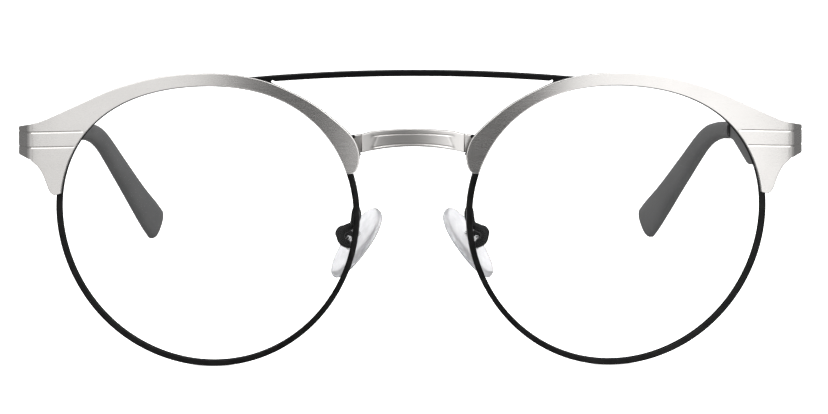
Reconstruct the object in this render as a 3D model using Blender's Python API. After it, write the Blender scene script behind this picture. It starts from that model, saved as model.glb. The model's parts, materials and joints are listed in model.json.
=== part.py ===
"""Round double-bridge metal eyeglasses, standing open on their rims and temple tips.

World axes: +X to the wearer's left, +Y from the front towards the ears, +Z up.  The front stands
upright and the temples slope down behind it.  The origin is on the table, under the middle of the
whole frame.  Lengths in this script are millimetres until a mesh is written, which is in metres.
"left" and "right" are the wearer's; the left half is at +X.
"""
import math

import bmesh
import bpy
from mathutils import Vector

MM = 0.001

# ---- driving dimensions -------------------------------------------------------------------------
ORIGIN_Y = 71.76             # from the foremost point of the plates back to the origin
LENS_X = 35.95               # lens centre, from the middle of the frame
LENS_Z = 25.97               # lens centre above the table
LENS_R = 25.11               # mean radius of the rim's opening
LENS_SHAPE = {2: (0.566, -0.160), 3: (-0.094, 0.544), 4: (-0.153, -0.052), 5: (0.040, -0.018)}
WRAP = math.radians(4.5)     # each lens faces outwards by this angle
BASE_R = 130.0               # radius of the sphere that the front is bent to
GAP = 0.3                    # clearance between pieces that are soldered or rest on each other

RIM_FACE = 1.01              # rim seen from the front
RIM_DEPTH = 1.7              # rim from front to back
RIM_BACK = 1.1               # rim's front face lies this far behind the brow plate's
GROOVE = 0.35                # depth of the groove that holds the lens
LENS_THICK = 1.4
LOCK_ANGLE = math.radians(180.0 - 29.0)   # where the rim is split for its closing blocks
LOCK_SPLIT = 0.12            # width of that split

PLATE_THICK = 0.8
TAB_X = 66.4                 # where the brow plate starts to bend back
TAB_BEND_R = 2.0             # radius of that bend
TAB_ANGLE = math.radians(66.0)   # direction of the tab's end, from straight across
TAB_END = 72.5               # end of the tab, measured along the plate
PLATE_INSET = 0.21           # how far the rim shows inside the plate's lower edge
TAB_GROOVES = ((58.4, 41.7), (59.6, 39.0))    # where each engraved line starts
GROOVE_FALL = 0.057          # the engraved lines fall by this much for each unit outwards
GROOVE_HALF = 0.2            # half width of an engraved line
GROOVE_DEEP = 0.14

BAR_END = 30.2               # top bar, half length
BAR_TOP = 52.5               # top edge at the centre line
BAR_ARCH = 0.0015            # the top edge falls by this times x squared
BAR_FACE = 0.96
BAR_DEPTH = 1.6
WEB_X = 24.25                # middle of the notch between the bar and its web
WEB_Z = 50.54
WEB_R = 0.36

BRIDGE_THICK = 0.9
BRIDGE_Y = 1.15              # foremost point of the lower bridge
BRIDGE_STEP_X = 8.85         # where the lower bridge steps back behind each plate
BRIDGE_STEP_RUN = 0.2        # how far across that step reaches
BRIDGE_STEP = 0.26
BRIDGE_BOW = 0.014           # it bows back by this times x squared, as far as the step
BRIDGE_TOP = 42.49           # edges of the lower bridge at the centre line
BRIDGE_LOW = 39.42

HINGE_X = 66.0               # hinge pin
HINGE_Y = 12.6
HINGE_LOW = 36.9
HINGE_HIGH = 41.0
KNUCKLE_R = 1.1
KNUCKLE_HOLE_R = 0.75
PIN_R = 0.45
LINK_X = 67.75               # how far out the knuckles reach into their leaves
LEAF_THICK = 0.65

ARM_SPREAD = 0.075           # the temple comes inwards this much for each unit back
ARM_THICK = 1.0
ARM_OUTER_X = 69.35          # outer face of the temple at its front end
ARM_Y = 12.8
TIP_Y = 82.0                 # front end of the plastic tip
TIP_END = (51.3, 141.95, 1.8)
TIP_CORNER = 3.6             # radius of the tip's rounded end

SIDES = {"right": -1.0, "left": 1.0}


# ---- the front's surface ------------------------------------------------------------------------
def front_y(x, z):
    """Depth of the front face of the brow plates and lenses at (x, z)."""
    across = abs(x) - LENS_X
    up = z - LENS_Z
    return across * math.tan(WRAP) + (across * across + up * up) / (2 * BASE_R)


def behind(x, z, depth):
    """Point a given depth behind the front's surface, measured square to the lens."""
    return Vector((x - depth * math.tan(WRAP), front_y(x, z) + depth, z))


def opening_radius(angle):
    """Radius of the rim's opening; the angle starts at the nose and rises over the brow."""
    radius = LENS_R
    for waves, (cosine, sine) in LENS_SHAPE.items():
        radius += cosine * math.cos(waves * angle) + sine * math.sin(waves * angle)
    return radius


def opening_point(angle, outwards=0.0):
    """Point (x, z) beside the rim's opening, moved outwards along the outline's normal."""
    def edge(a):
        r = opening_radius(a)
        return Vector((LENS_X - r * math.cos(a), LENS_Z + r * math.sin(a)))
    step = 0.001
    along = (edge(angle + step) - edge(angle - step)).normalized()
    normal = Vector((-along.y, along.x))
    return edge(angle) + normal * outwards


# ---- mesh helpers -------------------------------------------------------------------------------
def make_material(name, colour, roughness, metallic):
    material = bpy.data.materials.new(name)
    material.use_nodes = True
    shader = material.node_tree.nodes["Principled BSDF"]
    shader.inputs["Base Color"].default_value = (*colour, 1.0)
    shader.inputs["Roughness"].default_value = roughness
    shader.inputs["Metallic"].default_value = metallic
    material.diffuse_color = (*colour, 1.0)
    return material


def finish_object(bm, name, material, side=1.0, smooth=True):
    """Turn a millimetre bmesh of the left half into an object, mirrored for the right half."""
    for vert in bm.verts:
        vert.co.x *= side
        vert.co.y -= ORIGIN_Y
        vert.co *= MM
    bmesh.ops.recalc_face_normals(bm, faces=bm.faces)
    if bm.calc_volume(signed=True) < 0:
        bmesh.ops.reverse_faces(bm, faces=bm.faces)
    mesh = bpy.data.meshes.new(name)
    bm.to_mesh(mesh)
    bm.free()
    mesh.materials.append(material)
    if smooth:
        mesh.shade_smooth()
        mesh.set_sharp_from_angle(angle=math.radians(40))
    obj = bpy.data.objects.new(name, mesh)
    bpy.context.scene.collection.objects.link(obj)
    return obj


def bridge(bm, ring_a, ring_b):
    """Join two rings of vertices with quads."""
    count = len(ring_a)
    for i in range(count):
        j = (i + 1) % count
        bm.faces.new((ring_a[i], ring_a[j], ring_b[j], ring_b[i]))


def loft(rings, closed=False):
    """Closed solid through rings of points; open ends are capped."""
    bm = bmesh.new()
    made = [[bm.verts.new(p) for p in ring] for ring in rings]
    for a, b in zip(made, made[1:]):
        bridge(bm, a, b)
    if closed:
        bridge(bm, made[-1], made[0])
    else:
        bm.faces.new(made[0])
        bm.faces.new(reversed(made[-1]))
    return bm


def tube(path, radius, count=8):
    """Round wire along a path, its cross-section carried along without twist."""
    rings = []
    sideways = Vector((0, 0, 1)).cross(path[1] - path[0]).normalized()
    for i, point in enumerate(path):
        along = (path[min(i + 1, len(path) - 1)] - path[max(i - 1, 0)]).normalized()
        sideways = (sideways - along * sideways.dot(along)).normalized()
        upwards = along.cross(sideways)
        turns = [2 * math.pi * k / count for k in range(count)]
        rings.append([point + radius * (sideways * math.cos(a) + upwards * math.sin(a)) for a in turns])
    return loft(rings)


def spline(points, per_span):
    """Smooth curve through hand-set points."""
    padded = [2 * points[0] - points[1], *points, 2 * points[-1] - points[-2]]
    curve = []
    for a, b, c, d in zip(padded, padded[1:], padded[2:], padded[3:]):
        for i in range(per_span):
            t = i / per_span
            curve.append(0.5 * (2 * b + (c - a) * t + (2 * a - 5 * b + 4 * c - d) * t ** 2
                                + (3 * b - a - 3 * c + d) * t ** 3))
    return curve + [points[-1]]


def cut_lines(xs=(), zs=()):
    """Upright and level lines for sheet() to cut along."""
    return [((x, 0.0), (1.0, 0.0)) for x in xs] + [((0.0, z), (0.0, 1.0)) for z in zs]


def sheet(outline, thickness, cuts, form):
    """Flat outline (x, z) cut along lines, given a thickness, and bent by form(x, z, depth)."""
    bm = bmesh.new()
    face = bm.faces.new([bm.verts.new((p[0], 0.0, p[1])) for p in outline])
    back = bmesh.ops.extrude_face_region(bm, geom=[face])
    for item in back["geom"]:
        if isinstance(item, bmesh.types.BMVert):
            item.co.y = thickness
    for point, normal in cuts:
        everything = bm.verts[:] + bm.edges[:] + bm.faces[:]
        bmesh.ops.bisect_plane(bm, geom=everything, dist=1e-4, plane_co=(point[0], 0.0, point[1]),
                               plane_no=(normal[0], 0.0, normal[1]))
    for vert in bm.verts:
        vert.co = form(*vert.co.xzy)
    return bm


def steps(start, stop, count):
    """Evenly spaced values, both ends included."""
    return [start + (stop - start) * i / (count - 1) for i in range(count)]


def turned(profile, origin, axis, segments=16):
    """Solid of revolution; the profile is a list of (radius, distance along the axis)."""
    turn = Vector(axis).to_track_quat("Z", "Y").to_matrix()
    rings = []
    for radius, along in profile:
        ring = []
        for i in range(segments):
            a = 2 * math.pi * i / segments
            ring.append(Vector(origin) + turn @ Vector((radius * math.cos(a), radius * math.sin(a), along)))
        rings.append(ring)
    return loft(rings)


def block(low, high):
    """Rectangular solid between two corners."""
    x0, y0, z0 = low
    x1, y1, z1 = high
    flat = [(x0, y0), (x1, y0), (x1, y1), (x0, y1)]
    return loft([[(x, y, z) for x, y in flat] for z in (z0, z1)])


def boolean(target, tool, operation):
    """Combine two objects with an exact Boolean; the tool stays as a hidden guide."""
    tool.hide_render = True
    tool.display_type = "WIRE"
    modifier = target.modifiers.new(f"{operation.lower()} {tool.name}", "BOOLEAN")
    modifier.operation = operation
    modifier.object = tool
    modifier.solver = "EXACT"


# ---- front pieces -------------------------------------------------------------------------------
def rim_ring(angle):
    """Cross-section of the rim: a thin upright bar with a V groove for the lens."""
    chamfer = 0.18
    mid = RIM_DEPTH / 2
    half_groove = 0.4
    section = [(0, chamfer), (chamfer, 0), (RIM_FACE - chamfer, 0), (RIM_FACE, chamfer),
               (RIM_FACE, RIM_DEPTH - chamfer), (RIM_FACE - chamfer, RIM_DEPTH), (chamfer, RIM_DEPTH),
               (0, RIM_DEPTH - chamfer), (0, mid + half_groove), (GROOVE, mid), (0, mid - half_groove)]
    ring = []
    for outwards, depth in section:
        ring.append(behind(*opening_point(angle, outwards), RIM_BACK + depth))
    return ring


def add_rim(name, side, material):
    """The eyewire, open at the closing blocks."""
    half_split = LOCK_SPLIT / 2 / LENS_R
    angles = steps(LOCK_ANGLE + half_split, LOCK_ANGLE + 2 * math.pi - half_split, 73)
    finish_object(loft([rim_ring(a) for a in angles]), name, material, side)


def add_lens(name, side, material):
    """Curved lens whose bevelled edge sits in the rim's groove."""
    segments = 56
    middle = RIM_BACK + RIM_DEPTH / 2
    layers = [(-9.0, -0.5), (-0.5, -0.5), (0.03, 0.0), (-0.5, 0.5), (-9.0, 0.5)]
    rings = []
    for outwards, across in layers:
        turns = [2 * math.pi * i / segments for i in range(segments)]
        rings.append([behind(*opening_point(a, outwards), middle + across * LENS_THICK) for a in turns])
    bm = loft(rings)
    caps = [f for f in bm.faces if len(f.verts) == segments]
    for cap in caps:
        hub = bmesh.ops.poke(bm, faces=[cap])["verts"][0]
        offset = LENS_THICK * (-0.5 if hub.co.y < middle + 0.2 else 0.5)
        hub.co = behind(LENS_X, LENS_Z, middle + offset)
    finish_object(bm, name, material, side)


def plate_form(x, z, depth):
    """Bend a point of the flat brow plate to the front's curve and round the corner of the tab."""
    for start_x, start_z in TAB_GROOVES:
        off_line = z - start_z + GROOVE_FALL * (x - start_x)
        if depth == 0.0 and x > start_x + 0.01 and abs(off_line) < 0.01:
            depth = GROOVE_DEEP
    if x <= TAB_X:
        heading = max(WRAP, math.atan(math.tan(WRAP) + (x - LENS_X) / BASE_R))
        return Vector((x - depth * math.sin(heading), front_y(x, z) + depth * math.cos(heading), z))
    start = math.atan(math.tan(WRAP) + (TAB_X - LENS_X) / BASE_R)
    turn = min((x - TAB_X) / TAB_BEND_R, TAB_ANGLE - start)
    heading = start + turn
    straight = (x - TAB_X) - turn * TAB_BEND_R
    here = Vector((TAB_X, front_y(TAB_X, z)))
    here += TAB_BEND_R * Vector((math.sin(heading) - math.sin(start), math.cos(start) - math.cos(heading)))
    here += straight * Vector((math.cos(heading), math.sin(heading)))
    here += depth * Vector((-math.sin(heading), math.cos(heading)))
    return Vector((here.x, here.y, z))


def plate_outline():
    """Flat pattern of the brow plate: inner edge along the rim, then tip, tab and lobe."""
    nose = math.radians(19.5)
    lobe = math.radians(180.0 - 10.5)
    inner = [opening_point(a, PLATE_INSET) for a in steps(nose, lobe, 34)]
    lobe_edge = spline([Vector(p) for p in ((62.35, 30.15), (63.05, 30.1), (63.9, 30.9), (64.7, 33.3),
                                            (65.6, 35.15), (67.2, 36.5))], 3)
    tab = [Vector((TAB_END, 36.75)), Vector((TAB_END, 41.55))]
    brow = spline([Vector(p) for p in ((67.0, 42.6), (64.4, 43.45), (58.3, 46.3), (52.1, 49.1),
                                       (43.8, 51.4), (35.3, 52.1), (29.0, 51.5), (24.4, 50.3),
                                       (19.0, 47.75), (15.05, 45.1), (10.8, 41.3), (9.4, 38.6),
                                       (9.35, 36.8), (9.8, 35.3), (10.4, 34.7))], 3)
    return inner + lobe_edge + tab + brow


def add_brow_plate(name, side, material):
    """Brushed plate over the upper half of the rim; its outer tab bends back to the hinge."""
    starts = [x for x, _ in TAB_GROOVES]
    bend = steps(TAB_X, TAB_X + 1.7, 7)
    cuts = cut_lines(steps(12.0, 56.0, 12) + starts + [62.0, 64.5] + bend, (35.0, 46.0, 50.0))
    for start_x, start_z in TAB_GROOVES:
        for across in (-GROOVE_HALF, 0.0, GROOVE_HALF):
            cuts.append(((start_x, start_z + across), (GROOVE_FALL, 1.0)))
    finish_object(sheet(plate_outline(), PLATE_THICK, cuts, plate_form), name, material, side)


def bar_form(x, z, depth):
    """The bar runs straight across behind the plates; its webs follow the front's curve."""
    beside = min(max((z - WEB_Z + 0.7) / 0.7, 0.0), 1.0)
    bar_y = front_y(max(abs(x), WEB_X), z)
    y = beside * bar_y + (1 - beside) * front_y(x, z) + RIM_BACK + depth
    lean = min(max(1 - beside, (abs(x) - WEB_X) / 2), 1.0) * (RIM_BACK + depth) * math.tan(WRAP)
    return Vector((x - math.copysign(lean, x), y, z))


def bar_outline():
    """Arched bar whose ends widen, past a round notch, into webs that run down beside the rims."""
    def top_edge(x):
        return BAR_TOP - BAR_ARCH * x * x
    top = [Vector((x, top_edge(x))) for x in steps(-BAR_END, BAR_END, 31)]
    bottom = [Vector((x, top_edge(x) - BAR_FACE)) for x in steps(WEB_X - 0.4, 0.4 - WEB_X, 25)]
    inner = [opening_point(math.radians(a), RIM_FACE + GAP) for a in steps(78.0, 43.0, 12)]
    outer = [Vector(p) for p in ((15.4, 45.2), (19.0, 47.65), (21.9, 49.15))]
    notch = [Vector((WEB_X + WEB_R * math.cos(a), WEB_Z + WEB_R * math.sin(a)))
             for a in steps(math.radians(-70), math.radians(80), 6)]
    web = inner + outer + notch
    return top + web + bottom + [Vector((-p.x, p.y)) for p in reversed(web)]


def add_top_bar(material):
    """Thin arched bar that joins the tops of the rims, behind the plates."""
    bends = [side * x for side in (-1, 1) for x in (18.0, 21.0, 24.0, 25.5, 27.0, 28.5)]
    cuts = cut_lines(bends, (47.0, WEB_Z - 0.7, WEB_Z))
    finish_object(sheet(bar_outline(), BAR_DEPTH, cuts, bar_form), "top_bar", material)


def bridge_form(x, z, depth):
    """The lower bridge bows forwards a little and steps back behind the plates at its ends."""
    stepped = BRIDGE_STEP * min(max((abs(x) - BRIDGE_STEP_X) / BRIDGE_STEP_RUN, 0.0), 1.0)
    bowed = BRIDGE_BOW * min(abs(x), BRIDGE_STEP_X) ** 2
    return Vector((x, BRIDGE_Y + bowed + stepped + depth, z))


def bridge_outline():
    """Arched strip from plate to plate, a little lower over its end panels."""
    def top_edge(x):
        return BRIDGE_TOP - 0.0095 * x * x - 0.25 * min(max((abs(x) - 7.2) / 1.6, 0.0), 1.0)
    top = [Vector((x, top_edge(x))) for x in steps(-11.9, 11.9, 22)]
    bottom = [Vector((x, BRIDGE_LOW - 0.0148 * x * x)) for x in steps(10.5, -10.5, 17)]
    return top + bottom


def add_lower_bridge(material):
    bends = [side * (BRIDGE_STEP_X + x) for side in (-1, 1) for x in (0.0, BRIDGE_STEP_RUN)]
    cuts = cut_lines(bends, [40.2])
    finish_object(sheet(bridge_outline(), BRIDGE_THICK, cuts, bridge_form), "lower_bridge", material)


# ---- closing blocks -----------------------------------------------------------------------------
def add_closing_blocks(side_name, side, black, steel):
    """Two small blocks beside the rim's split and the screw that pulls them together."""
    split = opening_point(LOCK_ANGLE)
    x0 = split.x + RIM_FACE + 1.5
    y0 = front_y(x0 + 1.5, split.y) + RIM_BACK + 0.25
    size = 2.5
    centre = (x0 + size / 2, y0 + size / 2)
    low = split.y - GAP / 2
    high = split.y + GAP / 2
    spans = {"lower": (low - 2.2, low), "upper": (high, high + 2.2)}
    for place, (z0, z1) in spans.items():
        body = finish_object(block((x0, y0, z0), (x0 + size, y0 + size, z1)),
                             f"{side_name}_{place}_closing_block", black, side, smooth=False)
        hole = finish_object(turned([(0.8, z0 - 1), (0.8, z1 + 1)], (*centre, 0), (0, 0, 1), 12),
                             f"{side_name}_{place}_block_hole", steel, side)
        boolean(body, hole, "DIFFERENCE")
    head = low - 2.2 - GAP - 0.7
    profile = [(0.85, head), (1.05, head + 0.2), (1.05, head + 0.7), (0.5, head + 0.7), (0.5, high + 2.0)]
    finish_object(turned(profile, (*centre, 0), (0, 0, 1), 12), f"{side_name}_closing_screw", steel, side)


# ---- hinges -------------------------------------------------------------------------------------
def upright(corners, low, high):
    """Prism with a plan outline (x, y) between two heights."""
    return loft([[(x, y, z) for x, y in corners] for z in (low, high)])


def add_leaf(name, side, material, plate, knuckles, link_y):
    """Hinge leaf: a flat plate with knuckles bored for the pin."""
    leaf = finish_object(upright(plate, HINGE_LOW, HINGE_HIGH), name, material, side, smooth=False)
    for number, (z0, z1) in enumerate(knuckles):
        link = finish_object(block((HINGE_X, link_y[0], z0), (LINK_X, link_y[1], z1)),
                             f"{name}_link_{number}", material, side)
        eye = finish_object(turned([(KNUCKLE_R, z0), (KNUCKLE_R, z1)], (HINGE_X, HINGE_Y, 0), (0, 0, 1), 20),
                            f"{name}_eye_{number}", material, side)
        boolean(leaf, link, "UNION")
        boolean(leaf, eye, "UNION")
    bore = finish_object(turned([(KNUCKLE_HOLE_R, HINGE_LOW - 1), (KNUCKLE_HOLE_R, HINGE_HIGH + 1)],
                                (HINGE_X, HINGE_Y, 0), (0, 0, 1), 16), f"{name}_bore", material, side)
    boolean(leaf, bore, "DIFFERENCE")


def front_leaf_plan():
    """Plan of the front leaf, parallel to the inside of the bent tab."""
    corner = plate_form(TAB_END, HINGE_LOW, PLATE_THICK + GAP).xy
    forwards = -Vector((math.cos(TAB_ANGLE), math.sin(TAB_ANGLE)))
    inwards = Vector((-math.sin(TAB_ANGLE), math.cos(TAB_ANGLE)))
    near = corner + forwards * 0.5
    far = corner + forwards * 4.1
    return [near, far, far + inwards * LEAF_THICK, near + inwards * LEAF_THICK]


def temple_leaf_plan():
    """Plan of the temple's leaf, parallel to the inside of the arm."""
    y0 = HINGE_Y + GAP
    plan = []
    for y, inwards in ((y0, 0.0), (y0 + 7.2, 0.0), (y0 + 7.2, LEAF_THICK), (y0, LEAF_THICK)):
        plan.append(arm_point(y, 0.0, ARM_THICK + GAP + inwards)[:2])
    return plan


def add_hinge(side_name, side, steel):
    """Three-knuckle hinge on an upright screw."""
    lower = (HINGE_LOW, HINGE_LOW + 1.15)
    upper = (HINGE_HIGH - 1.15, HINGE_HIGH)
    middle = (lower[1] + GAP, upper[0] - GAP)
    add_leaf(f"{side_name}_front_hinge_leaf", side, steel, front_leaf_plan(), [lower, upper],
             (HINGE_Y - KNUCKLE_R, HINGE_Y))
    add_leaf(f"{side_name}_temple_hinge_leaf", side, steel, temple_leaf_plan(), [middle],
             (HINGE_Y, HINGE_Y + KNUCKLE_R))
    head = HINGE_HIGH + GAP
    profile = [(PIN_R, HINGE_LOW - 0.2), (PIN_R, head), (1.0, head), (1.0, head + 0.45), (0.7, head + 0.65)]
    pin = turned(profile, (HINGE_X, HINGE_Y, 0), (0, 0, 1), 16)
    finish_object(pin, f"{side_name}_hinge_screw", steel, side)


# ---- temples ------------------------------------------------------------------------------------
def arm_point(y, z, inwards):
    """Point on the flat temple arm; inwards is measured from its outer face."""
    x = ARM_OUTER_X - ARM_SPREAD * (y - ARM_Y) - inwards * math.hypot(1.0, ARM_SPREAD)
    return (x, y, z)


def arm_outline():
    """Side view (y, z) of the metal arm: a flared front that steps down to the tip's core."""
    top = [(ARM_Y, 41.15), (30.0, 39.1), (50.0, 36.65), (70.0, 34.0), (81.7, 32.2), (98.0, 29.6)]
    core = [(99.5, 28.9), (98.6, 27.75)]
    below = [(81.7, 29.8), (81.69, 29.5), (77.5, 29.6), (64.5, 27.75), (61.5, 27.45), (58.5, 27.65),
             (50.0, 29.0), (40.0, 30.8), (30.0, 32.8), (20.0, 35.0), (ARM_Y, 36.65)]
    return top[:-1] + [(81.71, 31.9)] + top[-1:] + core + below


def add_arm(name, side, material):
    outline = arm_outline()
    rings = [[arm_point(y, z, inwards) for y, z in outline] for inwards in (0.0, ARM_THICK)]
    finish_object(loft(rings), name, material, side, smooth=False)


def tip_path():
    """Middle line of the plastic tip, from its front end to the end behind the ear."""
    start = Vector(arm_point(TIP_Y, 30.95, ARM_THICK / 2))
    flat = Vector(arm_point(97.0, 28.75, ARM_THICK / 2))
    return spline([start, flat] + [Vector(p) for p in ((60.65, 106.2, 25.7), (57.55, 118.6, 17.75),
                                                       (54.45, 130.5, 9.75), TIP_END)], 5)


def tip_ring(path, index, thick, tall, onwards=0.0, count=12, power=0.8):
    """Rounded cross-section across the path, moved onwards along it."""
    before = path[max(index - 1, 0)]
    after = path[min(index + 1, len(path) - 1)]
    along = (after - before).normalized()
    sideways = Vector((0, 0, 1)).cross(along).normalized()
    upwards = along.cross(sideways)
    ring = []
    for i in range(count):
        a = 2 * math.pi * (i + 0.5) / count
        c = math.copysign(abs(math.cos(a)) ** power, math.cos(a))
        s = math.copysign(abs(math.sin(a)) ** power, math.sin(a))
        ring.append(path[index] + along * onwards + sideways * (thick / 2 * c) + upwards * (tall / 2 * s))
    return ring


def add_tip(name, side, material):
    """Plastic tip with a blind socket for the arm's core."""
    path = tip_path()
    last = len(path) - 1
    outer = []
    for i in range(last):
        t = i / last
        tall = 3.6 + 4.1 * max((t - 0.12) / 0.88, 0.0) ** 1.6
        thick = 2.3 + 0.45 * min(t / 0.6, 1.0)
        outer.append(tip_ring(path, i, thick, tall))
    for a in steps(math.radians(30), math.radians(90), 4):
        inset = TIP_CORNER * (1 - math.cos(a))
        onwards = TIP_CORNER * (math.sin(a) - 1)
        outer.append(tip_ring(path, last, thick - 0.9 * inset, tall - 2 * inset, onwards))
    socket = [tip_ring(path, i, ARM_THICK + 2 * GAP, 2.1 + 2 * GAP, power=0.5) for i in range(8)]
    bm = bmesh.new()
    skin = [[bm.verts.new(p) for p in ring] for ring in outer]
    bore = [[bm.verts.new(p) for p in ring] for ring in socket]
    for rings in (skin, bore):
        for a, b in zip(rings, rings[1:]):
            bridge(bm, a, b)
        bm.faces.new(rings[-1])
    bridge(bm, skin[0], bore[0])
    finish_object(bm, name, material, side)


# ---- nose pads ----------------------------------------------------------------------------------
PAD_CENTRE = Vector((9.9, 8.0, 21.25))
PAD_SLOPE = math.radians(55.6)          # the pad's length falls outwards at this angle
PAD_TURN = math.radians(28.5)           # its rear edge is turned away from the nose
PAD_LENGTH = 14.4
PAD_WIDTH = 7.6
PAD_THICK = 1.9
PAD_LONG = Vector((math.cos(PAD_SLOPE), 0.0, -math.sin(PAD_SLOPE)))
PAD_WIDE = Vector((math.sin(PAD_SLOPE) * math.sin(PAD_TURN), math.cos(PAD_TURN),
                   math.cos(PAD_SLOPE) * math.sin(PAD_TURN)))
PAD_OUT = PAD_LONG.cross(PAD_WIDE)      # from the pad away from the nose
PIVOT_ALONG = -0.3                      # pad screw, along the pad from its middle
PIVOT_OUT = 3.0                         # pad screw, outwards from the pad's middle plane
BOX_R = 1.25                            # pad box, round about its screw


def pad_point(along, across, out):
    """Point in the left pad's own directions."""
    return PAD_CENTRE + PAD_LONG * along + PAD_WIDE * across + PAD_OUT * out


def add_nose_pad(name, side, material):
    """Soft teardrop pad, domed towards the nose."""
    segments = 24
    layers = [(0.35, -1.0), (0.75, -0.75), (1.0, 0.0), (0.82, 0.62), (0.4, 0.85)]
    rings = []
    for scale, out in layers:
        ring = []
        for i in range(segments):
            a = 2 * math.pi * i / segments
            along = math.copysign(abs(math.cos(a)) ** 0.8, math.cos(a))
            across = math.copysign(abs(math.sin(a)) ** 0.8, math.sin(a)) * (1.0 - 0.1 * along)
            ring.append(pad_point(scale * PAD_LENGTH / 2 * along, scale * PAD_WIDTH / 2 * across,
                                  out * PAD_THICK / 2))
        rings.append(ring)
    finish_object(loft(rings), name, material, side)


def pad_block(low, high):
    """Rectangular solid in the pad's own directions, measured from its screw."""
    rings = []
    for out in (low[2], high[2]):
        corners = ((low[0], low[1]), (high[0], low[1]), (high[0], high[1]), (low[0], high[1]))
        rings.append([pad_point(PIVOT_ALONG + a, b, out) for a, b in corners])
    return loft(rings)


def add_pad_hardware(side_name, side, black, steel):
    """Insert on the pad, the box that straddles its tongue, their screw and the curled arm."""
    skin = PAD_THICK / 2 * 0.85 + GAP
    insert = finish_object(pad_block((-1.9, -1.3, skin), (1.9, 1.3, skin + 0.45)), f"{side_name}_pad_insert",
                           steel, side, smooth=False)
    tongue = finish_object(pad_block((-0.8, -0.4, skin + 0.2), (0.8, 0.4, PIVOT_OUT + 0.7)),
                           f"{side_name}_pad_tongue", steel, side)
    boolean(insert, tongue, "UNION")
    pivot = pad_point(PIVOT_ALONG, 0, PIVOT_OUT)
    box = finish_object(turned([(BOX_R, -1.3), (BOX_R, 1.3)], pivot, PAD_WIDE, 12),
                        f"{side_name}_pad_box", black, side, smooth=False)
    slot = finish_object(pad_block((-2.0, -0.75, skin), (2.0, 0.75, PIVOT_OUT + 0.95)),
                         f"{side_name}_pad_box_slot", black, side)
    boolean(box, slot, "DIFFERENCE")
    bore = finish_object(turned([(0.56, -3.0), (0.56, 3.0)], pivot, PAD_WIDE, 12), f"{side_name}_pad_bore",
                         steel, side)
    for target in (insert, box):
        boolean(target, bore, "DIFFERENCE")
    profile = [(0.5, -2.05), (0.7, -1.9), (0.7, -1.3 - GAP), (0.27, -1.3 - GAP), (0.27, 1.5)]
    finish_object(turned(profile, pivot, PAD_WIDE, 12), f"{side_name}_pad_screw", steel, side)
    add_pad_arm(f"{side_name}_pad_arm", side, black)


def add_pad_arm(name, side, material):
    """Curled wire from the back of the rim to the pad box."""
    radius = 0.55
    rim_back = RIM_BACK + RIM_DEPTH + radius + GAP
    foot = behind(10.35, 28.3, rim_back)
    knee = behind(10.55, 26.6, rim_back + 0.2)
    end = pad_point(PIVOT_ALONG, 0, PIVOT_OUT + BOX_R + GAP)
    arrive = end + 0.4 * PAD_OUT
    shoulder = (knee + arrive) / 2 + Vector((0.35, -0.1, 0.25))
    bm = tube(spline([foot, knee, shoulder, arrive, end], 4), radius)
    bmesh.ops.triangulate(bm, faces=bm.faces)
    finish_object(bm, name, material, side)


# ---- assembly -----------------------------------------------------------------------------------
def main():
    for obj in list(bpy.data.objects):
        bpy.data.objects.remove(obj, do_unlink=True)
    black = make_material("satin_black", (0.012, 0.012, 0.013), 0.38, 0.4)
    silver = make_material("brushed_silver", (0.56, 0.55, 0.54), 0.33, 1.0)
    steel = make_material("steel", (0.55, 0.55, 0.56), 0.25, 1.0)
    dark = make_material("dark_plastic", (0.05, 0.05, 0.053), 0.42, 0.0)
    clear = make_material("clear_silicone", (0.86, 0.87, 0.90), 0.12, 0.0)
    graphite = make_material("satin_graphite", (0.10, 0.10, 0.102), 0.42, 0.3)
    lens = make_material("lens", (0.95, 0.96, 0.97), 0.03, 0.0)
    add_top_bar(black)
    add_lower_bridge(silver)
    for side_name, side in SIDES.items():
        add_rim(f"{side_name}_rim", side, black)
        add_lens(f"{side_name}_lens", side, lens)
        add_brow_plate(f"{side_name}_brow_plate", side, silver)
        add_closing_blocks(side_name, side, black, steel)
        add_hinge(side_name, side, steel)
        add_arm(f"{side_name}_temple_arm", side, graphite)
        add_tip(f"{side_name}_temple_tip", side, dark)
        add_nose_pad(f"{side_name}_nose_pad", side, clear)
        add_pad_hardware(side_name, side, black, steel)


main()
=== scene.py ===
"""Round double-bridge eyeglasses: looks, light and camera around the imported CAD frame.

The shapes that show in the photo are rebuilt finely here, in the CAD part's place; the closing
blocks, closing screws and hinge leaves keep their CAD shapes.  +X is the wearer's left, +Y runs
from the front to the ears, +Z is up.  Shapes are worked out in millimetres, from the foremost
point of the front, and written in metres.
"""
import json
import math

import bmesh
import bpy
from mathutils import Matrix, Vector

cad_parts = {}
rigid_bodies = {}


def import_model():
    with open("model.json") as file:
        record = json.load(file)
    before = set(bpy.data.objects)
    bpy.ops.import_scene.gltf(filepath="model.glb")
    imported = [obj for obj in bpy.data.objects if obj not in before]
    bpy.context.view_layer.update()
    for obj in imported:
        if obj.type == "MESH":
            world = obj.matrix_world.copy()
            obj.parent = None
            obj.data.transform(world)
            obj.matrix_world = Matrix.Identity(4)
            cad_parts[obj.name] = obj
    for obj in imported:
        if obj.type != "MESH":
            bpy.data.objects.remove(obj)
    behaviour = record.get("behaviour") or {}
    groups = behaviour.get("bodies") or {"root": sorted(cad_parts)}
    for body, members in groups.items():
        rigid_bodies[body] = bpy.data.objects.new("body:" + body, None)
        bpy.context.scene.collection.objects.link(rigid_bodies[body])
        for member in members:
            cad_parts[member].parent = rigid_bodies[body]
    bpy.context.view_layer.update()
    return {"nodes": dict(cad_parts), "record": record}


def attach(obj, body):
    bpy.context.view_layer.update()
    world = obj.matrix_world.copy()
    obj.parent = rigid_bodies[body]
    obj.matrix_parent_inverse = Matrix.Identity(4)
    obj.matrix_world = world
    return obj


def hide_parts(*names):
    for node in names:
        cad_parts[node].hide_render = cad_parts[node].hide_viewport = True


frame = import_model()

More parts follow.
